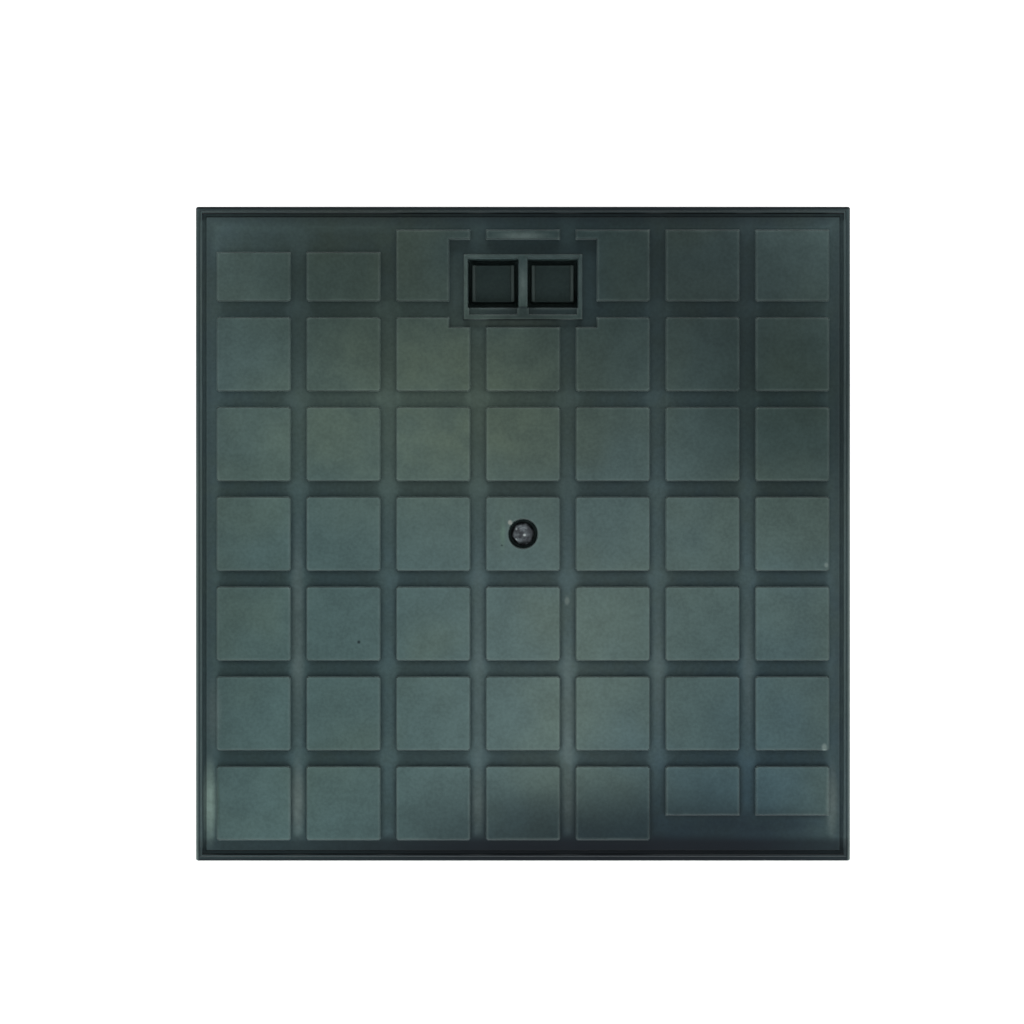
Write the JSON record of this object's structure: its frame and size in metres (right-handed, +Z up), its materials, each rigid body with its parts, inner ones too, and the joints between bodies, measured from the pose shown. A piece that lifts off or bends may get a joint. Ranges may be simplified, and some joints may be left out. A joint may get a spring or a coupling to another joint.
{
  "type": "plastic access cover",
  "caption": "Square moulded plastic access cover with a raised pad field, blind lifting pockets, a central lock bolt and a ribbed underside.",
  "frame": {"origin": "middle of the flat lower face that the rib edges and the ring wall share, under the lock bolt", "axes": "+Z up through the pads, +Y towards the lifting pockets, +X to the right with the pockets at the far side"},
  "size_m": [0.45, 0.45, 0.04],
  "materials": {
    "cover_plastic": "satin moulded plastic, dark green-grey, faintly mottled, with light rubbing along the pad edges",
    "bolt_steel": "dull zinc-plated steel with light scratches"
  },
  "bodies": {
    "root": {"cover": "cover_plastic", "lock_bolt": "bolt_steel", "bolt_washer": "bolt_steel"}
  },
  "joints": []
}
